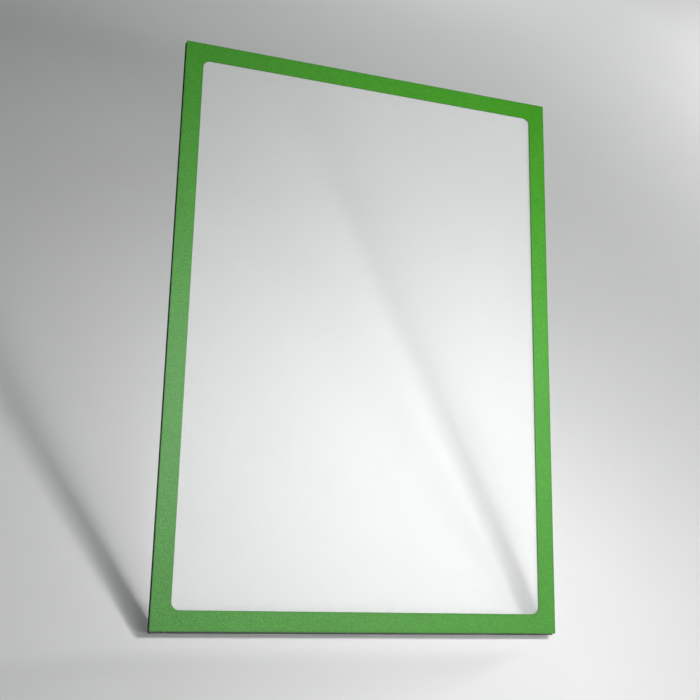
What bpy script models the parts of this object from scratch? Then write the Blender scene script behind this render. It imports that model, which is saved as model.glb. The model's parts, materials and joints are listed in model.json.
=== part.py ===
"""Magnetic document pocket for an upright A4 sheet.

A coloured flap with a see-through window closes, by strips of flexible magnet, on a clear back
leaf. The flap turns on a folded film along its right edge, and the back leaf clings to steel by
four magnet strips. Metres, +Z up. The front faces -Y. The origin is on the holding face, in the
middle of the top magnet strip.
"""

import math

import bmesh
import bpy
from mathutils import Vector

# The sheet that the pocket holds, and how far the pocket stands out round it
SHEET_WIDTH = 0.210
SHEET_HEIGHT = 0.297
SHEET_MARGIN = 0.006

# Flap frame, die-cut from grained vinyl, with a window a little smaller than the sheet
WINDOW_LAP = 0.004
WINDOW_CORNER_RADIUS = 0.004
OUTER_CORNER_RADIUS = 0.0006
FRAME_THICKNESS = 0.00045

# Matt window film welded behind the frame
WINDOW_FILM_THICKNESS = 0.00025
WINDOW_FILM_CORNER_RADIUS = 0.002

# What lies behind the bars: inwards it stops short of the window, and on the flap it also
# stops short of the frame's outer edge
WINDOW_SETBACK = 0.002
FLAP_LAYER_INSET = 0.001

# Closing strips on the flap's three free edges, and holding magnets behind the back leaf
CLOSER_THICKNESS = 0.0008
MAGNET_THICKNESS = 0.001

# Folded film along the right edge, which is the hinge
HINGE_FILM_THICKNESS = 0.0002
HINGE_END_INSET = 0.002
HINGE_CORNER_RADIUS = 0.0015

# Clear back leaf, and how far it reaches below the flap, as a lip to open the pocket by
BACK_FILM_THICKNESS = 0.0003
BACK_LEAF_LIP = 0.001

# Clearances: bonded layers, room for the sheet, inside the fold, round the fold, butted ends
BOND_GAP = 0.0003
SHEET_GAP = 0.0004
FOLD_GAP = 0.0003
FOLD_CLEARANCE = 0.00005
END_GAP = 0.0003

# Softened cut edges, and how many steps the rounded corners and the fold have
FILM_EDGE_ROUND = 0.00008
STRIP_EDGE_ROUND = 0.00015
EDGE_STEPS = 2
CORNER_STEPS = 8
FOLD_STEPS = 12
SMOOTH_BELOW = math.radians(35)

# Outline of the flap and the back leaf
POCKET_WIDTH = SHEET_WIDTH + 2 * SHEET_MARGIN
POCKET_HEIGHT = SHEET_HEIGHT + 2 * SHEET_MARGIN
BAR_WIDTH = SHEET_MARGIN + WINDOW_LAP
HIDDEN_WIDTH = BAR_WIDTH - WINDOW_SETBACK
LEFT = -POCKET_WIDTH / 2
RIGHT = POCKET_WIDTH / 2
TOP = HIDDEN_WIDTH / 2
BOTTOM = TOP - POCKET_HEIGHT
BACK_LEAF_BOTTOM = BOTTOM - BACK_LEAF_LIP

# Back face of each layer, counted from the holding face at 0 towards the front, which is -Y
MAGNET_BACK = 0.0
BACK_FILM_BACK = MAGNET_BACK - MAGNET_THICKNESS - BOND_GAP
BACK_FILM_FRONT = BACK_FILM_BACK - BACK_FILM_THICKNESS
BACK_WING_BACK = BACK_FILM_FRONT - BOND_GAP
POCKET_DEPTH = max(
    BOND_GAP + CLOSER_THICKNESS + SHEET_GAP,
    2 * (BOND_GAP + HINGE_FILM_THICKNESS) + FOLD_GAP,
)
WINDOW_FILM_BACK = BACK_FILM_FRONT - POCKET_DEPTH
CLOSER_BACK = WINDOW_FILM_BACK + BOND_GAP + CLOSER_THICKNESS
FLAP_WING_BACK = WINDOW_FILM_BACK + BOND_GAP + HINGE_FILM_THICKNESS
FRAME_BACK = WINDOW_FILM_BACK - WINDOW_FILM_THICKNESS - BOND_GAP

# The fold: its middle surface runs from the back wing's to the flap wing's, round a centre far
# enough out for the flap's wing to swing past it
BACK_WING_MIDDLE = BACK_WING_BACK - HINGE_FILM_THICKNESS / 2
FLAP_WING_MIDDLE = FLAP_WING_BACK - HINGE_FILM_THICKNESS / 2
FOLD_RADIUS = (BACK_WING_MIDDLE - FLAP_WING_MIDDLE) / 2
FOLD_Y = (BACK_WING_MIDDLE + FLAP_WING_MIDDLE) / 2
FOLD_X = RIGHT + FOLD_RADIUS + HINGE_FILM_THICKNESS / 2 + FOLD_CLEARANCE


def clear_scene():
    for obj in list(bpy.data.objects):
        bpy.data.objects.remove(obj, do_unlink=True)


def plastic(name, color, roughness, alpha=1.0):
    """A material by its linear colour, its roughness and how much it hides what is behind it."""
    material = bpy.data.materials.new(name)
    material.use_nodes = True
    shader = material.node_tree.nodes["Principled BSDF"]
    shader.inputs["Base Color"].default_value = (*color, 1.0)
    shader.inputs["Roughness"].default_value = roughness
    shader.inputs["Metallic"].default_value = 0.0
    shader.inputs["Alpha"].default_value = alpha
    return material


def leaf_empty(name, location):
    """The empty that carries a leaf. The flap's stands on the fold, so turning it opens the flap."""
    empty = bpy.data.objects.new(name, None)
    empty.location = location
    empty.empty_display_size = HIDDEN_WIDTH
    bpy.context.collection.objects.link(empty)
    return empty


def place(bm, name, back, parent, material):
    """Makes the object from a mesh drawn in place but for its depth, and hangs it on its leaf."""
    mesh = bpy.data.meshes.new(name)
    bm.to_mesh(mesh)
    bm.free()
    mesh.shade_smooth()
    mesh.set_sharp_from_angle(angle=SMOOTH_BELOW)
    mesh.materials.append(material)
    obj = bpy.data.objects.new(name, mesh)
    bpy.context.collection.objects.link(obj)
    obj.parent = parent
    obj.location = Vector((0.0, back, 0.0)) - parent.location
    return obj


def soften_edges(obj, width):
    bevel = obj.modifiers.new("softened_edges", "BEVEL")
    bevel.width = width
    bevel.segments = EDGE_STEPS
    bevel.limit_method = "ANGLE"
    bevel.angle_limit = SMOOTH_BELOW


def round_corners(bm, verts, radius):
    bmesh.ops.bevel(
        bm,
        geom=verts,
        offset=radius,
        offset_type="OFFSET",
        segments=CORNER_STEPS,
        profile=0.5,
        affect="VERTICES",
        material=-1,
    )


def upright_face(bm, left, right, bottom, top):
    """One face at y = 0, seen from the front."""
    corners = ((left, bottom), (right, bottom), (right, top), (left, top))
    return bm.faces.new([bm.verts.new((x, 0.0, z)) for x, z in corners])


def thicken(bm, thickness):
    """Turns a flat outline at y = 0 into a plate that reaches forwards to y = -thickness."""
    grown = bmesh.ops.extrude_face_region(bm, geom=bm.faces[:])["geom"]
    front = [item for item in grown if isinstance(item, bmesh.types.BMVert)]
    bmesh.ops.translate(bm, vec=(0.0, -thickness, 0.0), verts=front)
    bmesh.ops.recalc_face_normals(bm, faces=bm.faces[:])


def strip(name, outline, thickness, back, parent, material):
    """A straight length of flexible magnet, cut square at both ends."""
    bm = bmesh.new()
    upright_face(bm, *outline)
    thicken(bm, thickness)
    obj = place(bm, name, back, parent, material)
    soften_edges(obj, STRIP_EDGE_ROUND)


def film(name, outline, corner_radius, thickness, back, parent, material):
    """A cut sheet of film with rounded corners."""
    bm = bmesh.new()
    face = upright_face(bm, *outline)
    round_corners(bm, face.verts[:], corner_radius)
    thicken(bm, thickness)
    obj = place(bm, name, back, parent, material)
    soften_edges(obj, FILM_EDGE_ROUND)


def flap_frame(parent, material):
    """The coloured frame: a crisp outline bridged to the window's round-cornered one."""
    bm = bmesh.new()
    outer = upright_face(bm, LEFT, RIGHT, BOTTOM, TOP)
    round_corners(bm, outer.verts[:], OUTER_CORNER_RADIUS)
    window = upright_face(
        bm,
        LEFT + BAR_WIDTH,
        RIGHT - BAR_WIDTH,
        BOTTOM + BAR_WIDTH,
        TOP - BAR_WIDTH,
    )
    round_corners(bm, window.verts[:], WINDOW_CORNER_RADIUS)
    bmesh.ops.delete(bm, geom=bm.faces[:], context="FACES_ONLY")
    bmesh.ops.bridge_loops(bm, edges=bm.edges[:])
    thicken(bm, FRAME_THICKNESS)
    obj = place(bm, "flap_frame", FRAME_BACK, parent, material)
    soften_edges(obj, FILM_EDGE_ROUND)


def window_film(parent, material):
    outline = (
        LEFT + FLAP_LAYER_INSET,
        RIGHT - FLAP_LAYER_INSET,
        BOTTOM + FLAP_LAYER_INSET,
        TOP - FLAP_LAYER_INSET,
    )
    film(
        "window_film",
        outline,
        WINDOW_FILM_CORNER_RADIUS,
        WINDOW_FILM_THICKNESS,
        WINDOW_FILM_BACK,
        parent,
        material,
    )


def closing_strips(parent, material):
    """Strips along the flap's free edges. The left one is butted between the other two."""
    outer = LEFT + FLAP_LAYER_INSET
    inner = LEFT + HIDDEN_WIDTH
    low = BOTTOM + FLAP_LAYER_INSET
    low_inner = BOTTOM + HIDDEN_WIDTH
    high = TOP - FLAP_LAYER_INSET
    high_inner = TOP - HIDDEN_WIDTH
    end = RIGHT - HIDDEN_WIDTH - END_GAP
    outlines = {
        "closing_strip_left": (outer, inner, low_inner + END_GAP, high_inner - END_GAP),
        "closing_strip_top": (outer, end, high_inner, high),
        "closing_strip_bottom": (outer, end, low, low_inner),
    }
    for name, outline in outlines.items():
        strip(name, outline, CLOSER_THICKNESS, CLOSER_BACK, parent, material)


def hinge_wing_flap(parent, material):
    """The flap's half of the hinge film: a flat wing behind the right-hand bar."""
    outline = (
        RIGHT - HIDDEN_WIDTH,
        RIGHT,
        BOTTOM + HINGE_END_INSET,
        TOP - HINGE_END_INSET,
    )
    film(
        "hinge_wing_flap",
        outline,
        HINGE_CORNER_RADIUS,
        HINGE_FILM_THICKNESS,
        FLAP_WING_BACK,
        parent,
        material,
    )


def hinge_wing_back(parent, material):
    """The back leaf's half: its wing, the half-round fold, and a short lip to meet the flap's wing.

    It is drawn as its middle surface, from the wing's free edge round to the lip, and then
    given its thickness.
    """
    low = BOTTOM + HINGE_END_INSET
    height = POCKET_HEIGHT - 2 * HINGE_END_INSET
    wing_edge = RIGHT - HIDDEN_WIDTH
    lip = FOLD_X - RIGHT - END_GAP
    bm = bmesh.new()
    free = bm.verts.new((wing_edge, BACK_WING_MIDDLE, low))
    bend = bm.verts.new((FOLD_X, BACK_WING_MIDDLE, low))
    bm.edges.new((free, bend))
    turned = bmesh.ops.spin(
        bm,
        geom=[bend],
        cent=(FOLD_X, FOLD_Y, low),
        axis=(0.0, 0.0, 1.0),
        dvec=(0.0, 0.0, 0.0),
        angle=-math.pi,
        steps=FOLD_STEPS,
        use_merge=False,
    )
    tip = bmesh.ops.extrude_vert_indiv(bm, verts=turned["geom_last"])["verts"]
    bmesh.ops.translate(bm, vec=(-lip, 0.0, 0.0), verts=tip)
    risen = bmesh.ops.extrude_edge_only(bm, edges=bm.edges[:])["geom"]
    upper = [item for item in risen if isinstance(item, bmesh.types.BMVert)]
    bmesh.ops.translate(bm, vec=(0.0, 0.0, height), verts=upper)
    free_edge = [vert for vert in bm.verts if vert.co.x < (wing_edge + RIGHT) / 2]
    round_corners(bm, free_edge, HINGE_CORNER_RADIUS)
    bmesh.ops.recalc_face_normals(bm, faces=bm.faces[:])
    obj = place(bm, "hinge_wing_back", 0.0, parent, material)
    wall = obj.modifiers.new("film_thickness", "SOLIDIFY")
    wall.thickness = HINGE_FILM_THICKNESS
    wall.offset = 0.0
    soften_edges(obj, FILM_EDGE_ROUND)


def back_film(parent, material):
    film(
        "back_film",
        (LEFT, RIGHT, BACK_LEAF_BOTTOM, TOP),
        OUTER_CORNER_RADIUS,
        BACK_FILM_THICKNESS,
        BACK_FILM_BACK,
        parent,
        material,
    )


def holding_magnets(parent, material):
    """Two uprights the whole height of the back leaf, and a top and a bottom strip between them.

    Their butts lie elsewhere than the closing strips', so no joint runs through both layers.
    """
    left_inner = LEFT + HIDDEN_WIDTH
    right_inner = RIGHT - HIDDEN_WIDTH
    start = left_inner + END_GAP
    end = right_inner - END_GAP
    outlines = {
        "holding_magnet_left": (LEFT, left_inner, BACK_LEAF_BOTTOM, TOP),
        "holding_magnet_right": (right_inner, RIGHT, BACK_LEAF_BOTTOM, TOP),
        "holding_magnet_top": (start, end, TOP - HIDDEN_WIDTH, TOP),
        "holding_magnet_bottom": (
            start,
            end,
            BACK_LEAF_BOTTOM,
            BACK_LEAF_BOTTOM + HIDDEN_WIDTH,
        ),
    }
    for name, outline in outlines.items():
        strip(name, outline, MAGNET_THICKNESS, MAGNET_BACK, parent, material)


def build():
    clear_scene()
    green_vinyl = plastic("green_vinyl", (0.075, 0.305, 0.03), 0.5)
    matt_film = plastic("matt_film", (0.86, 0.87, 0.86), 0.45, alpha=0.5)
    clear_film = plastic("clear_film", (0.85, 0.88, 0.87), 0.12, alpha=0.2)
    hinge_vinyl = plastic("hinge_vinyl", (0.05, 0.2, 0.025), 0.4)
    magnet_rubber = plastic("magnet_rubber", (0.022, 0.018, 0.015), 0.62)

    flap = leaf_empty("flap_on_fold", (FOLD_X, FOLD_Y, (TOP + BOTTOM) / 2))
    flap_frame(flap, green_vinyl)
    window_film(flap, matt_film)
    closing_strips(flap, magnet_rubber)
    hinge_wing_flap(flap, hinge_vinyl)

    back_leaf = leaf_empty("back_leaf", (0.0, 0.0, 0.0))
    hinge_wing_back(back_leaf, hinge_vinyl)
    back_film(back_leaf, clear_film)
    holding_magnets(back_leaf, magnet_rubber)


build()
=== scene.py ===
"""Looks of the magnetic document pocket: its finishes, folded hinge film, glue lines and stage.

Metres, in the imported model's frame: +Z runs up the pocket and the window faces -Y.
"""

import json
import math

import bmesh
import bpy
from mathutils import Matrix, Vector


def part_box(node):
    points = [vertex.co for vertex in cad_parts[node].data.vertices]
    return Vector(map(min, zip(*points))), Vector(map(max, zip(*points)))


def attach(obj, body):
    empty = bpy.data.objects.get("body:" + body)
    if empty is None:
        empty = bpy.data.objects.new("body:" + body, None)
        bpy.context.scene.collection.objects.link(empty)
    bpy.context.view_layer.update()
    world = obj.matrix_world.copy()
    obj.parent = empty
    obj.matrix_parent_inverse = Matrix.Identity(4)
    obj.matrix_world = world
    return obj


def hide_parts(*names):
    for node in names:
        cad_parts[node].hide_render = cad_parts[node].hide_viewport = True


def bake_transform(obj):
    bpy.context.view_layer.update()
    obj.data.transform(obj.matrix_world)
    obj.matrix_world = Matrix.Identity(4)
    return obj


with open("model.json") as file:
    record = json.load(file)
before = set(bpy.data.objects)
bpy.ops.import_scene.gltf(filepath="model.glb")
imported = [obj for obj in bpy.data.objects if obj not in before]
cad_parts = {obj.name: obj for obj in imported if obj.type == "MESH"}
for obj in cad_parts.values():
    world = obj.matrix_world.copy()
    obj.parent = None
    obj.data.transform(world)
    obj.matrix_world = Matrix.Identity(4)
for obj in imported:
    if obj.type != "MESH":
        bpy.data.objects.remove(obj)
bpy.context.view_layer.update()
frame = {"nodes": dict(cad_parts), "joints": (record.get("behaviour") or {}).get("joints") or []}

# Camera: where it stands, which way it looks, and how the picture is framed
CAMERA_PLACE = Vector((-0.2064, -0.5193, -0.2675))
CAMERA_FORWARD = Vector((0.3147, 0.9193, 0.2363))
CAMERA_UP = Vector((-0.1045, -0.2139, 0.9713))
CAMERA_LENS = 53.44
CAMERA_SENSOR = 36.0
CAMERA_SHIFT = (0.0436, -0.0673)
CAMERA_REACH = (0.01, 20.0)

# Lamps: the key lamp is brightest in its lower right corner and fades to its left and upwards, so
# a shadow is crisp on the far side and fades back towards the pocket
KEY_PLACE = Vector((0.149, -0.307, -0.159))
KEY_ACROSS = (-0.172, 0.015)
KEY_UP = (-0.009, 0.077)
KEY_FADE_LEFT = 0.052
KEY_FADE_UP = 0.032
KEY_WATTS = 7.2
KEY_TINT = (1.0, 0.975, 1.0)
POCKET_MIDDLE = Vector((0.0, -0.004, -0.151))

# A farther lamp beyond the key lamp, in line with it: its shadows fall in the key lamp's
FAR_PLACE = Vector((0.492, -0.710, -0.374))
FAR_SIZE = (0.20, 0.10)
FAR_WATTS = 1.5

# Fill: a softbox, and a taller lamp that overlaps it and only shows in gloss. The vinyl shows it as
# a pale haze on its left
SOFTBOX_PLACE = Vector((0.10, -1.05, -0.10))
SOFTBOX_SIZE = (0.36, 0.22)
SOFTBOX_WATTS = 1.0
SHEEN_PLACE = Vector((0.04, -1.05, -0.10))
SHEEN_SIZE = (0.30, 0.38)
SHEEN_WATTS = 7.2
FILL_TINT = (0.78, 1.0, 0.84)
OVERHEAD_TINT = (0.93, 1.0, 0.95)
ROOM_LIGHT = 0.02

# Lamps behind the pocket, for the far part of the table
TABLE_MIDDLE = Vector((0.30, 0.35, 0.20))
OVERHEAD_PLACE = Vector((0.15, 0.50, 0.95))
OVERHEAD_SIZE = (0.30, 0.30)
OVERHEAD_WATTS = 2.6
SIDE_PLACE = Vector((1.30, 0.15, 0.25))
SIDE_SIZE = (0.20, 0.20)
SIDE_WATTS = 15.5

# Stage: a pale table. The pocket stands on it by its bottom edge and leans over it, so in the
# pocket's own upright frame the table slopes up behind
TABLE_FOOT = Vector((0.0, 0.0042, -0.306))
TABLE_SLOPE = math.radians(55)
TABLE_REACH = 3.0

# Greys: the table as the camera sees it, the light it throws back, and the backdrop past its end
TABLE_TONE = 0.84
TABLE_BOUNCE = (0.75, 0.75, 0.75, 1.0)
BACKDROP = (0.75, 0.75, 0.75, 1.0)

# The green frame's bars, as the part has them
BAR_WIDTH = 0.010

# Glue lines: how far they stop short of the layers they hold, and how nearly they fill the gap
GLUE_SETBACK = 0.0006
GLUE_CLEARANCE = 0.000005

# Roundings
CORNER_STEPS = 8
FOLD_STEPS = 24
FILM_EDGE_ROUND = 0.00007
FILM_EDGE_STEPS = 2
HINGE_CORNER_RADIUS = 0.0015
FRAME_CORNER_RADIUS = 0.0006
WINDOW_CORNER_RADIUS = 0.004

# The hinge film's edges up to this angle are shaded smooth, and sharper ones are softened first
SMOOTH_BELOW = math.radians(35)

# The window film is more opaque, and so paler, towards its foot. This is painted light for the
# brighter light that falls there: the two heights, and its opacity at each
FILM_HEIGHTS = (-0.26, -0.02)
FILM_OPACITY = (0.24, 0.14)

# How solid the back leaf and the glue look, and what share of the lamps' light both films let by
LEAF_OPACITY = 0.07
GLUE_OPACITY = 0.12
LIGHT_SHARE = 0.9

# Way along the hinge film from its wing's free edge to the crown of its fold, in millimetres
FOLD_CROWN_MM = 9.05

MM = 0.001


# Node building


def feed(tree, socket, value):
    """Links a node's output to the socket, or sets the socket to a plain value."""
    if isinstance(value, bpy.types.NodeSocket):
        tree.links.new(value, socket)
    else:
        socket.default_value = value


def add_node(tree, kind, sockets=None, **settings):
    """Adds a node, applies its settings, and sets or links the sockets that are named."""
    made = tree.nodes.new(kind)
    for name, value in settings.items():
        setattr(made, name, value)
    for name, value in (sockets or {}).items():
        feed(tree, made.inputs[name], value)
    return made


def math_of(tree, operation, first, second=0.0):
    return add_node(tree, "ShaderNodeMath", {0: first, 1: second}, operation=operation).outputs[0]


def sum_of(tree, first, second):
    """Two values added up. Each is given with the share it counts for."""
    first_part = math_of(tree, "MULTIPLY", *first)
    second_part = math_of(tree, "MULTIPLY", *second)
    return math_of(tree, "ADD", first_part, second_part)


def swung(tree, noise, amount):
    """A factor round 1 that swings with the noise."""
    swing = math_of(tree, "MULTIPLY", math_of(tree, "SUBTRACT", noise, 0.5), amount)
    return math_of(tree, "ADD", swing, 1.0)


def vector_of(tree, operation, first, second=(0.0, 0.0, 0.0)):
    made = add_node(tree, "ShaderNodeVectorMath", {0: first, 1: second}, operation=operation)
    return made.outputs["Value" if operation == "LENGTH" else "Vector"]


def scaled(tree, vector, factor):
    made = add_node(tree, "ShaderNodeVectorMath", {0: vector, "Scale": factor}, operation="SCALE")
    return made.outputs["Vector"]


def ranged(tree, value, span=(0.0, 1.0), to=(0.0, 1.0), smooth=False):
    """The value mapped from one range to another, and held at its ends."""
    made = add_node(
        tree,
        "ShaderNodeMapRange",
        {
            "Value": value,
            "From Min": span[0],
            "From Max": span[1],
            "To Min": to[0],
            "To Max": to[1],
        },
        interpolation_type="SMOOTHSTEP" if smooth else "LINEAR",
    )
    return made.outputs["Result"]


def blended(tree, factor, first, second):
    """Two colours, mixed by a factor. The numbers are the Mix node's sockets for colours."""
    sockets = {0: factor, 6: first, 7: second}
    return add_node(tree, "ShaderNodeMix", sockets, data_type="RGBA").outputs[2]


def noise_of(tree, vector, scale, detail=2.0, roughness=0.5):
    sockets = {"Vector": vector, "Scale": scale, "Detail": detail, "Roughness": roughness}
    return add_node(tree, "ShaderNodeTexNoise", sockets).outputs["Fac"]


def new_group(name, inputs, outputs):
    """An empty shader group, with its entrance's and its exit's nodes."""
    group = bpy.data.node_groups.new(name, "ShaderNodeTree")
    for title, kind in inputs:
        group.interface.new_socket(name=title, in_out="INPUT", socket_type=kind)
    for title, kind in outputs:
        group.interface.new_socket(name=title, in_out="OUTPUT", socket_type=kind)
    entrance = group.nodes.new("NodeGroupInput")
    leave = group.nodes.new("NodeGroupOutput")
    return group, entrance.outputs, leave.inputs


def use_group(tree, group, **sockets):
    """Places a group in a material. A socket's name has its spaces written as underscores."""
    made = tree.nodes.new("ShaderNodeGroup")
    made.node_tree = group
    for name, value in sockets.items():
        feed(tree, made.inputs[name.replace("_", " ")], value)
    return made.outputs


# Shared effects

FLOAT = "NodeSocketFloat"
VECTOR = "NodeSocketVector"


def embossed_grain_group():
    """The pebbled skin of embossed vinyl or matt film, in millimetres."""
    group, given, result = new_group(
        "embossed_grain",
        [("Vector", VECTOR), ("Cell", FLOAT)],
        [("Height", FLOAT), ("Speckle", FLOAT)],
    )
    density = math_of(group, "DIVIDE", 1.0, given["Cell"])
    cells = add_node(
        group,
        "ShaderNodeTexVoronoi",
        {"Vector": given["Vector"], "Scale": density, "Smoothness": 0.6},
        feature="SMOOTH_F1",
    )
    pebbles = ranged(group, cells.outputs["Distance"], span=(0.0, 0.7), to=(1.0, 0.0))
    fine_scale = math_of(group, "MULTIPLY", density, 2.2)
    fine = noise_of(group, given["Vector"], fine_scale, detail=1.0)
    coarse_scale = math_of(group, "MULTIPLY", density, 0.9)
    coarse = noise_of(group, given["Vector"], coarse_scale)
    group.links.new(sum_of(group, (pebbles, 0.65), (fine, 0.35)), result["Height"])
    mixed = sum_of(group, (fine, 0.5), (coarse, 0.5))
    group.links.new(ranged(group, mixed, span=(0.30, 0.70)), result["Speckle"])
    return group


def soft_clouds_group():
    """Broad, faint patches, given as a factor round 1."""
    group, given, result = new_group(
        "soft_clouds",
        [("Vector", VECTOR), ("Size", FLOAT), ("Amount", FLOAT)],
        [("Factor", FLOAT)],
    )
    density = math_of(group, "DIVIDE", 1.0, given["Size"])
    noise = noise_of(group, given["Vector"], density, detail=3.0)
    group.links.new(swung(group, noise, given["Amount"]), result["Factor"])
    return group


def outline_distance_group():
    """How far a point lies inside a round-cornered rectangle seen from the front."""
    group, given, result = new_group(
        "outline_distance",
        [("Vector", VECTOR), ("Centre", VECTOR), ("Half Size", VECTOR), ("Radius", FLOAT)],
        [("Distance", FLOAT)],
    )
    offset = vector_of(group, "SUBTRACT", given["Vector"], given["Centre"])
    beyond = vector_of(
        group, "SUBTRACT", vector_of(group, "ABSOLUTE", offset), given["Half Size"]
    )
    axes = add_node(group, "ShaderNodeSeparateXYZ", {0: beyond}).outputs
    across = math_of(group, "ADD", axes["X"], given["Radius"])
    along = math_of(group, "ADD", axes["Z"], given["Radius"])
    corner = add_node(
        group,
        "ShaderNodeCombineXYZ",
        {"X": math_of(group, "MAXIMUM", across, 0.0), "Z": math_of(group, "MAXIMUM", along, 0.0)},
    ).outputs[0]
    sides = math_of(group, "MINIMUM", math_of(group, "MAXIMUM", across, along), 0.0)
    outside = math_of(group, "ADD", vector_of(group, "LENGTH", corner), sides)
    outside = math_of(group, "SUBTRACT", outside, given["Radius"])
    group.links.new(math_of(group, "MULTIPLY", outside, -1.0), result["Distance"])
    return group


def edge_wear_and_shade_group():
    """A ragged band along an edge, from the distance to it. It marks wear on the magnets and painted
    shade on the vinyl.
    """
    group, given, result = new_group(
        "edge_wear_and_shade",
        [("Vector", VECTOR), ("Distance", FLOAT), ("Width", FLOAT), ("Raggedness", FLOAT)],
        [("Mask", FLOAT)],
    )
    noise = noise_of(group, given["Vector"], scale=0.8, detail=4.0, roughness=0.65)
    width = math_of(group, "MULTIPLY", given["Width"], swung(group, noise, given["Raggedness"]))
    depth = math_of(group, "DIVIDE", math_of(group, "ABSOLUTE", given["Distance"]), width)
    mask = ranged(group, depth, span=(0.3, 1.0), to=(1.0, 0.0), smooth=True)
    group.links.new(mask, result["Mask"])
    return group


def drawn_streaks_group():
    """Fine lines along a strip, as rolling and drawing leave them. Stretch squeezes the vector."""
    group, given, result = new_group(
        "drawn_streaks",
        [("Vector", VECTOR), ("Stretch", VECTOR), ("Scale", FLOAT)],
        [("Factor", FLOAT)],
    )
    squeezed = vector_of(group, "MULTIPLY", given["Vector"], given["Stretch"])
    lines = noise_of(group, squeezed, given["Scale"], detail=3.0, roughness=0.6)
    group.links.new(ranged(group, lines, span=(0.3, 0.7)), result["Factor"])
    return group


GRAIN = embossed_grain_group()
CLOUDS = soft_clouds_group()
OUTLINE = outline_distance_group()
EDGE_WEAR_AND_SHADE = edge_wear_and_shade_group()
STREAKS = drawn_streaks_group()


# Materials


def new_material(name):
    """A material with its tree and Principled shader."""
    material = bpy.data.materials.new(name)
    material.use_nodes = True
    tree = material.node_tree
    return material, tree, tree.nodes["Principled BSDF"]


def object_place(tree):
    """Object coordinates, in metres."""
    return tree.nodes.new("ShaderNodeTexCoord").outputs["Object"]


def in_mm(tree, vector):
    return scaled(tree, vector, 1.0 / MM)


def finish_of(tree, shader, colour, rough):
    """Gives the shader its colour and its roughness."""
    tree.links.new(colour, shader.inputs["Base Color"])
    tree.links.new(rough, shader.inputs["Roughness"])


def bumped(tree, shader, height, depth):
    bump = add_node(tree, "ShaderNodeBump", {"Height": height, "Distance": depth, "Strength": 1.0})
    tree.links.new(bump.outputs["Normal"], shader.inputs["Normal"])


def light_passes(material, tree, shader):
    """Lets most of the lamps' light through, so the film throws next to no shadow."""
    path = tree.nodes.new("ShaderNodeLightPath").outputs["Is Shadow Ray"]
    clear = tree.nodes.new("ShaderNodeBsdfTransparent")
    mix = add_node(
        tree,
        "ShaderNodeMixShader",
        {
            0: math_of(tree, "MULTIPLY", path, LIGHT_SHARE),
            1: shader.outputs[0],
            2: clear.outputs[0],
        },
    )
    tree.links.new(mix.outputs[0], tree.nodes["Material Output"].inputs["Surface"])
    material.use_transparent_shadow = True


def inside_of(tree, place, low, high, radius):
    """How far each point lies inside the outline between two corners, seen from the front."""
    return use_group(
        tree,
        OUTLINE,
        Vector=place,
        Centre=(low + high) / 2,
        Half_Size=(high - low) / 2,
        Radius=radius,
    )["Distance"]


def window_opening():
    """The corners of the frame's window, a bar's width in from the frame's own."""
    low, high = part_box("flap_frame")
    bar = Vector((BAR_WIDTH, 0.0, BAR_WIDTH))
    return low + bar, high - bar


def green_vinyl():
    """Bright green vinyl with a pebbled skin, and painted shade: a darker line along its cut edges.
    """
    dark_green = (0.022, 0.190, 0.002, 1.0)
    bright_green = (0.068, 0.415, 0.009, 1.0)
    cut_edge_shade = (0.016, 0.135, 0.006, 1.0)
    edge_shade_strength = 0.55
    material, tree, shader = new_material("green_vinyl")
    shader.inputs["Specular IOR Level"].default_value = 0.38
    place = object_place(tree)
    place_mm = in_mm(tree, place)
    grain = use_group(tree, GRAIN, Vector=place_mm, Cell=0.7)
    clouds = use_group(tree, CLOUDS, Vector=place_mm, Size=45.0, Amount=0.16)["Factor"]
    outer = inside_of(tree, place, *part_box("flap_frame"), radius=FRAME_CORNER_RADIUS)
    opening = inside_of(tree, place, *window_opening(), radius=WINDOW_CORNER_RADIUS)
    near = math_of(
        tree,
        "MINIMUM",
        math_of(tree, "ABSOLUTE", outer),
        math_of(tree, "ABSOLUTE", opening),
    )
    # Painted shade: a ragged darker band along the frame's outer and window cut edges
    edge = use_group(
        tree, EDGE_WEAR_AND_SHADE, Vector=place_mm, Distance=near, Width=0.0006, Raggedness=0.5
    )["Mask"]
    patchy = scaled(tree, blended(tree, grain["Speckle"], dark_green, bright_green), clouds)
    colour = blended(tree, math_of(tree, "MULTIPLY", edge, edge_shade_strength), patchy, cut_edge_shade)
    finish_of(tree, shader, colour, ranged(tree, grain["Height"], to=(0.48, 0.37)))
    bumped(tree, shader, grain["Height"], depth=0.0001)
    return material


def matt_film():
    """Frosted, anti-glare window film: it hazes what is behind it, and throws next to no shadow."""
    dim_frost = (0.79, 0.79, 0.79, 1.0)
    bright_frost = (0.88, 0.88, 0.88, 1.0)
    material, tree, shader = new_material("matt_film")
    shader.inputs["Specular IOR Level"].default_value = 0.7
    place = object_place(tree)
    place_mm = in_mm(tree, place)
    grain = use_group(tree, GRAIN, Vector=place_mm, Cell=0.45)
    clouds = use_group(tree, CLOUDS, Vector=place_mm, Size=70.0, Amount=0.05)["Factor"]
    frost = scaled(tree, blended(tree, grain["Speckle"], dim_frost, bright_frost), clouds)
    finish_of(tree, shader, frost, ranged(tree, grain["Height"], to=(0.60, 0.50)))
    height = add_node(tree, "ShaderNodeSeparateXYZ", {0: place}).outputs["Z"]
    # Painted light: the film grows more opaque, and so paler, towards its foot
    painted_foot_light = ranged(tree, height, span=FILM_HEIGHTS, to=FILM_OPACITY, smooth=True)
    tree.links.new(painted_foot_light, shader.inputs["Alpha"])
    waves = noise_of(tree, place_mm, scale=0.02, detail=1.0)
    relief = sum_of(tree, (grain["Height"], 1.0), (waves, 12.0))
    bumped(tree, shader, relief, depth=0.000012)
    light_passes(material, tree, shader)
    return material


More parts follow.
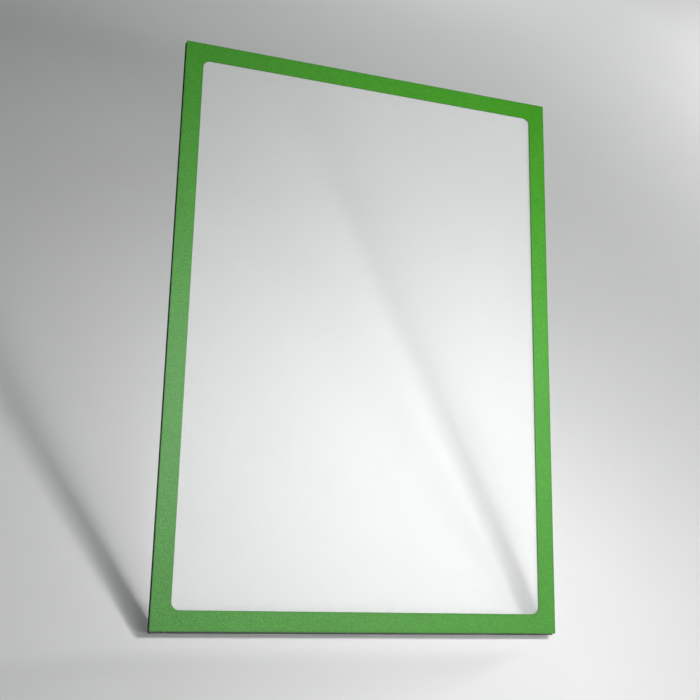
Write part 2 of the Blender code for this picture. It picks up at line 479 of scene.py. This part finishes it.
def clear_film():
    """Clear back leaf with faint waves and handling haze. Only its back shows gloss."""
    dim_milk = (0.80, 0.83, 0.82, 1.0)
    bright_milk = (0.90, 0.93, 0.92, 1.0)
    front_dullness = 0.6
    material, tree, shader = new_material("clear_film")
    place_mm = in_mm(tree, object_place(tree))
    haze = noise_of(tree, place_mm, scale=0.035, detail=5.0, roughness=0.6)
    scuffs = use_group(tree, STREAKS, Vector=place_mm, Stretch=(1.0, 1.0, 0.06), Scale=0.9)
    milk = blended(tree, scuffs["Factor"], dim_milk, bright_milk)
    glossy = ranged(tree, haze, span=(0.35, 0.7), to=(0.08, 0.22))
    facing = tree.nodes.new("ShaderNodeTexCoord").outputs["Normal"]
    facing_back = add_node(tree, "ShaderNodeSeparateXYZ", {0: facing}).outputs["Y"]
    seen_inside = tree.nodes.new("ShaderNodeNewGeometry").outputs["Backfacing"]
    outside = math_of(
        tree,
        "MULTIPLY",
        ranged(tree, facing_back, span=(-0.2, 0.2)),
        math_of(tree, "SUBTRACT", 1.0, seen_inside),
    )
    dull = math_of(tree, "MULTIPLY", math_of(tree, "SUBTRACT", 1.0, outside), front_dullness)
    finish_of(tree, shader, milk, math_of(tree, "ADD", glossy, dull))
    shader.inputs["Alpha"].default_value = LEAF_OPACITY
    waves = noise_of(tree, place_mm, scale=0.025, detail=1.0)
    bumped(tree, shader, waves, depth=0.0006)
    light_passes(material, tree, shader)
    return material


def hinge_vinyl():
    """Thin satin film, with a paler, stressed line where it folds."""
    dark_green = (0.028, 0.185, 0.010, 1.0)
    light_green = (0.040, 0.235, 0.016, 1.0)
    stressed = (0.10, 0.36, 0.06, 1.0)
    material, tree, shader = new_material("hinge_vinyl")
    along = add_node(tree, "ShaderNodeAttribute", attribute_name="along_film").outputs["Vector"]
    along_mm = in_mm(tree, along)
    grain = use_group(tree, GRAIN, Vector=along_mm, Cell=0.6)
    clouds = use_group(tree, CLOUDS, Vector=along_mm, Size=20.0, Amount=0.2)["Factor"]
    patchy = scaled(tree, blended(tree, grain["Speckle"], dark_green, light_green), clouds)
    across = add_node(tree, "ShaderNodeSeparateXYZ", {0: along_mm}).outputs["X"]
    from_crown = math_of(tree, "ABSOLUTE", math_of(tree, "SUBTRACT", across, FOLD_CROWN_MM))
    fold = ranged(tree, from_crown, span=(0.2, 0.9), to=(0.45, 0.0), smooth=True)
    colour = blended(tree, fold, patchy, stressed)
    finish_of(tree, shader, colour, ranged(tree, grain["Height"], to=(0.48, 0.34)))
    bumped(tree, shader, grain["Height"], depth=0.000015)
    return material


def magnet_rubber(node):
    """Dull ferrite rubber with lines along the strip, paler at its worn edges."""
    dark_line = (0.016, 0.013, 0.011, 1.0)
    pale_line = (0.028, 0.024, 0.021, 1.0)
    worn = (0.060, 0.054, 0.048, 1.0)
    wear = 0.5
    squeeze = 0.02
    material, tree, shader = new_material("magnet_rubber_" + node)
    place = object_place(tree)
    place_mm = in_mm(tree, place)
    low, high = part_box(node)
    upright = high.z - low.z > high.x - low.x
    stretch = (1.0, 1.0, squeeze) if upright else (squeeze, 1.0, 1.0)
    lines = use_group(tree, STREAKS, Vector=place_mm, Stretch=stretch, Scale=1.6)["Factor"]
    clouds = use_group(tree, CLOUDS, Vector=place_mm, Size=14.0, Amount=0.5)["Factor"]
    grit = noise_of(tree, place_mm, scale=4.0)
    inside = inside_of(tree, place, low, high, radius=0.0)
    edge = use_group(
        tree, EDGE_WEAR_AND_SHADE, Vector=place_mm, Distance=inside, Width=0.0004, Raggedness=1.6
    )["Mask"]
    patchy = scaled(tree, blended(tree, lines, dark_line, pale_line), clouds)
    colour = blended(tree, math_of(tree, "MULTIPLY", edge, wear), patchy, worn)
    finish_of(tree, shader, colour, ranged(tree, grit, span=(0.3, 0.7), to=(0.52, 0.72)))
    bumped(tree, shader, sum_of(tree, (lines, 0.7), (grit, 0.3)), depth=0.00002)
    return material


def glue():
    """Thin clear glue, a little milky, so the magnets show dark through the back leaf."""
    thin = (0.34, 0.35, 0.31, 1.0)
    thick = (0.58, 0.59, 0.54, 1.0)
    material, tree, shader = new_material("glue")
    shader.inputs["Alpha"].default_value = GLUE_OPACITY
    blobs = noise_of(tree, in_mm(tree, object_place(tree)), scale=1.1, detail=3.0)
    colour = blended(tree, blobs, thin, thick)
    finish_of(tree, shader, colour, ranged(tree, blobs, span=(0.3, 0.7), to=(0.4, 0.6)))
    bumped(tree, shader, blobs, depth=0.00003)
    return material


# Pieces


def placed(bm, name, material):
    """Turns a bmesh in its place into an object at the origin."""
    mesh = bpy.data.meshes.new(name)
    bm.to_mesh(mesh)
    bm.free()
    mesh.materials.append(material)
    piece = bpy.data.objects.new(name, mesh)
    bpy.context.scene.collection.objects.link(piece)
    return piece


def finished(bm, name, material):
    """A piece whose faces are first turned to agree."""
    bmesh.ops.recalc_face_normals(bm, faces=bm.faces[:])
    return placed(bm, name, material)


def smoothed(piece):
    piece.data.shade_smooth()
    piece.data.set_sharp_from_angle(angle=SMOOTH_BELOW)


def apply_modifiers(piece):
    """Makes what the modifiers show the piece's own mesh."""
    bpy.context.view_layer.update()
    shown = piece.evaluated_get(bpy.context.evaluated_depsgraph_get())
    mesh = bpy.data.meshes.new_from_object(shown)
    piece.modifiers.clear()
    piece.data = mesh
    mesh.name = piece.name


def round_corners(bm, verts, radius):
    bmesh.ops.bevel(
        bm,
        geom=verts,
        offset=radius,
        offset_type="OFFSET",
        segments=CORNER_STEPS,
        profile=0.5,
        affect="VERTICES",
        material=-1,
    )


def upright_face(bm, low, high, depth):
    """One face seen from the front, between two corners' x and z."""
    corners = ((low.x, low.z), (high.x, low.z), (high.x, high.z), (low.x, high.z))
    return bm.faces.new([bm.verts.new((x, depth, z)) for x, z in corners])


def thicken(bm, thickness):
    """Gives a flat outline a thickness towards the front."""
    grown = bmesh.ops.extrude_face_region(bm, geom=bm.faces[:])["geom"]
    front = [item for item in grown if isinstance(item, bmesh.types.BMVert)]
    bmesh.ops.translate(bm, vec=(0.0, -thickness, 0.0), verts=front)


def glue_layer(held, behind, before, body, material, opening=None):
    """Glue under the held node, in the gap between the node behind and the one before it."""
    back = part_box(behind)[0].y - GLUE_CLEARANCE
    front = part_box(before)[1].y + GLUE_CLEARANCE
    inset = Vector((GLUE_SETBACK, 0.0, GLUE_SETBACK))
    low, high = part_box(held)
    bm = bmesh.new()
    upright_face(bm, low + inset, high - inset, back)
    if opening:
        ring = upright_face(bm, opening[0] - inset, opening[1] + inset, back)
        round_corners(bm, ring.verts[:], WINDOW_CORNER_RADIUS + GLUE_SETBACK)
        bmesh.ops.delete(bm, geom=bm.faces[:], context="FACES_ONLY")
        bmesh.ops.bridge_loops(bm, edges=bm.edges[:])
    thicken(bm, back - front)
    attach(finished(bm, "glue_" + held, material), body)


def glue_layers(material):
    """Every bonded pair: frame to window film, strips and wings to the films, magnets to the leaf."""
    opening = window_opening()
    glue_layer("window_film", "window_film", "flap_frame", "flap", material, opening)
    for held in ("closing_strip_left", "closing_strip_top", "closing_strip_bottom"):
        glue_layer(held, held, "window_film", "flap", material)
    glue_layer("hinge_wing_flap", "hinge_wing_flap", "window_film", "flap", material)
    for side in ("left", "right", "top", "bottom"):
        held = "holding_magnet_" + side
        glue_layer(held, held, "back_film", "back_leaf", material)


def hinge_film(material):
    """One film folded along the right edge: back wing, half-round fold and flap wing."""
    low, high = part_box("hinge_wing_flap")
    thickness = high.y - low.y
    flap_middle = (low.y + high.y) / 2
    back_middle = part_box("hinge_wing_back")[1].y - thickness / 2
    fold_x, fold_y, _ = frame["joints"][0]["pos_m"]
    radius = (back_middle - flap_middle) / 2
    bm = bmesh.new()

    # The film's lower edge: the back wing, turned about the joint's axis, then the flap's wing
    free = bm.verts.new((low.x, back_middle, low.z))
    bend = bm.verts.new((fold_x, back_middle, low.z))
    bm.edges.new((free, bend))
    turned = bmesh.ops.spin(
        bm,
        geom=[bend],
        cent=(fold_x, fold_y, low.z),
        axis=(0.0, 0.0, 1.0),
        dvec=(0.0, 0.0, 0.0),
        angle=-math.pi,
        steps=FOLD_STEPS,
        use_merge=False,
    )
    wing = bmesh.ops.extrude_vert_indiv(bm, verts=turned["geom_last"])["verts"]
    bmesh.ops.translate(bm, vec=(low.x - fold_x, 0.0, 0.0), verts=wing)

    # Raised to the film's height, with its free corners rounded
    risen = bmesh.ops.extrude_edge_only(bm, edges=bm.edges[:])["geom"]
    upper = [item for item in risen if isinstance(item, bmesh.types.BMVert)]
    bmesh.ops.translate(bm, vec=(0.0, 0.0, high.z - low.z), verts=upper)
    free_corners = [vert for vert in bm.verts if vert.co.x < low.x + MM]
    round_corners(bm, free_corners, HINGE_CORNER_RADIUS)
    piece = finished(bm, "hinge_film", material)
    wall = piece.modifiers.new("film_thickness", "SOLIDIFY")
    wall.thickness = thickness
    wall.offset = 0.0
    edge = piece.modifiers.new("softened_edges", "BEVEL")
    edge.width = FILM_EDGE_ROUND
    edge.segments = FILM_EDGE_STEPS
    edge.limit_method = "ANGLE"
    edge.angle_limit = SMOOTH_BELOW
    apply_modifiers(piece)
    smoothed(piece)
    mark_along_film(piece, low.x, fold_x, fold_y, radius)
    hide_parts("hinge_wing_back", "hinge_wing_flap")
    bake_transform(piece)


def mark_along_film(piece, wing_edge, fold_x, fold_y, radius):
    """Stores each point's way along the film, which its grain follows as it bends."""
    wing = fold_x - wing_edge
    marks = piece.data.attributes.new("along_film", "FLOAT_VECTOR", "POINT")
    for mark, vert in zip(marks.data, piece.data.vertices):
        offset_x, offset_y = vert.co.x - fold_x, vert.co.y - fold_y
        if offset_x > 0:
            turn = math.pi / 2 - math.atan2(offset_y, offset_x)
            way = wing + radius * turn
        elif offset_y > 0:
            way = wing + offset_x
        else:
            way = wing + radius * math.pi - offset_x
        mark.vector = (way, 0.0, vert.co.z)


# Stage


def table_paper():
    """Pale paper. Its back lets everything through, so the pocket can be seen from behind."""
    material = bpy.data.materials.new("pale_paper")
    material.use_nodes = True
    tree = material.node_tree
    tree.nodes.remove(tree.nodes["Principled BSDF"])
    place_mm = in_mm(tree, object_place(tree))
    path = tree.nodes.new("ShaderNodeLightPath").outputs
    seen = math_of(
        tree,
        "MAXIMUM",
        path["Is Camera Ray"],
        math_of(tree, "MAXIMUM", path["Is Glossy Ray"], path["Is Transmission Ray"]),
    )
    clouds = use_group(tree, CLOUDS, Vector=place_mm, Size=120.0, Amount=0.06)["Factor"]
    tone = math_of(tree, "MULTIPLY", clouds, TABLE_TONE)
    tint = add_node(tree, "ShaderNodeCombineXYZ", {"X": tone, "Y": tone, "Z": tone}).outputs[0]
    colour = blended(tree, seen, TABLE_BOUNCE, tint)
    paper = add_node(tree, "ShaderNodeBsdfDiffuse", {"Color": colour})
    clear = tree.nodes.new("ShaderNodeBsdfTransparent")
    back = tree.nodes.new("ShaderNodeNewGeometry").outputs["Backfacing"]
    mix = add_node(
        tree, "ShaderNodeMixShader", {0: back, 1: paper.outputs[0], 2: clear.outputs[0]}
    )
    tree.links.new(mix.outputs[0], tree.nodes["Material Output"].inputs["Surface"])
    return material


def stage():
    """The table, one sheet that the pocket's foot almost touches."""
    bm = bmesh.new()
    bmesh.ops.create_grid(bm, x_segments=1, y_segments=1, size=TABLE_REACH)
    turned = Matrix.Translation(TABLE_FOOT) @ Matrix.Rotation(TABLE_SLOPE, 4, "X")
    bmesh.ops.transform(bm, matrix=turned, verts=bm.verts[:])
    placed(bm, "table", table_paper())


def lamp(name, place, size, watts, tint, target=POCKET_MIDDLE):
    """A rectangular lamp that faces its target. The camera doesn't see it."""
    light = bpy.data.lights.new(name, "AREA")
    light.shape = "RECTANGLE"
    light.size, light.size_y = size
    light.energy = watts
    light.color = tint
    made = bpy.data.objects.new(name, light)
    bpy.context.scene.collection.objects.link(made)
    made.location = place
    made.rotation_mode = "QUATERNION"
    made.rotation_quaternion = (target - place).to_track_quat("-Z", "Y")
    made.visible_camera = False
    return made


def key_lamp():
    """The lamp that draws the shadows. Its brightness falls away from its lower right corner."""
    left, right = KEY_ACROSS
    low, high = KEY_UP
    made = lamp("key_lamp", KEY_PLACE, (right - left, high - low), KEY_WATTS, KEY_TINT)
    middle = Vector(((left + right) / 2, (low + high) / 2, 0.0))
    made.location = KEY_PLACE + made.rotation_quaternion @ middle
    made.data.use_nodes = True
    tree = made.data.node_tree
    face = tree.nodes.new("ShaderNodeNewGeometry").outputs["Parametric"]
    shares = add_node(tree, "ShaderNodeSeparateXYZ", {0: face}).outputs
    leftward = ranged(
        tree,
        shares["X"],
        span=(0.0, -left / (right - left)),
        to=(-left / KEY_FADE_LEFT, 0.0),
    )
    upward = ranged(
        tree,
        shares["Y"],
        span=(-low / (high - low), 1.0),
        to=(0.0, high / KEY_FADE_UP),
    )
    away = math_of(tree, "ADD", leftward, upward)
    fade = math_of(tree, "EXPONENT", math_of(tree, "MULTIPLY", away, -1.0))
    tree.links.new(fade, tree.nodes["Emission"].inputs["Strength"])


def studio_world():
    """Soft light from all round. The camera sees it as a pale backdrop."""
    world = bpy.data.worlds.new("studio")
    bpy.context.scene.world = world
    world.use_nodes = True
    tree = world.node_tree
    path = tree.nodes.new("ShaderNodeLightPath").outputs
    seen = add_node(tree, "ShaderNodeBackground", {"Color": BACKDROP, "Strength": 1.0})
    light = add_node(
        tree, "ShaderNodeBackground", {"Color": (*FILL_TINT, 1.0), "Strength": ROOM_LIGHT}
    )
    mix = add_node(
        tree,
        "ShaderNodeMixShader",
        {0: path["Is Camera Ray"], 1: light.outputs[0], 2: seen.outputs[0]},
    )
    tree.links.new(mix.outputs[0], tree.nodes["World Output"].inputs["Surface"])


def camera():
    """The photo's view."""
    forward = CAMERA_FORWARD.normalized()
    up = (CAMERA_UP - forward * CAMERA_UP.dot(forward)).normalized()
    right = forward.cross(up)
    data = bpy.data.cameras.new("camera")
    data.lens = CAMERA_LENS
    data.sensor_width = CAMERA_SENSOR
    data.shift_x, data.shift_y = CAMERA_SHIFT
    data.clip_start, data.clip_end = CAMERA_REACH
    made = bpy.data.objects.new("camera", data)
    bpy.context.scene.collection.objects.link(made)
    turned = Matrix((right, up, -forward)).transposed()
    made.matrix_world = Matrix.Translation(CAMERA_PLACE) @ turned.to_4x4()
    bpy.context.scene.camera = made


def dress(node, material):
    """Gives a CAD node its finish."""
    for place in frame["nodes"][node].material_slots:
        place.material = material


def build():
    dress("flap_frame", green_vinyl())
    dress("window_film", matt_film())
    dress("back_film", clear_film())
    for node in frame["nodes"]:
        if node.startswith(("closing_strip", "holding_magnet")):
            dress(node, magnet_rubber(node))
    hinge_film(hinge_vinyl())
    glue_layers(glue())
    stage()
    key_lamp()
    lamp("far_lamp", FAR_PLACE, FAR_SIZE, FAR_WATTS, KEY_TINT)
    lamp("softbox", SOFTBOX_PLACE, SOFTBOX_SIZE, SOFTBOX_WATTS, FILL_TINT)
    sheen = lamp("sheen", SHEEN_PLACE, SHEEN_SIZE, SHEEN_WATTS, FILL_TINT)
    sheen.visible_diffuse = False
    lamp("overhead", OVERHEAD_PLACE, OVERHEAD_SIZE, OVERHEAD_WATTS, OVERHEAD_TINT, TABLE_MIDDLE)
    lamp("side_lamp", SIDE_PLACE, SIDE_SIZE, SIDE_WATTS, KEY_TINT, TABLE_MIDDLE)
    studio_world()
    camera()
    bpy.context.scene.view_settings.view_transform = "Standard"


build()
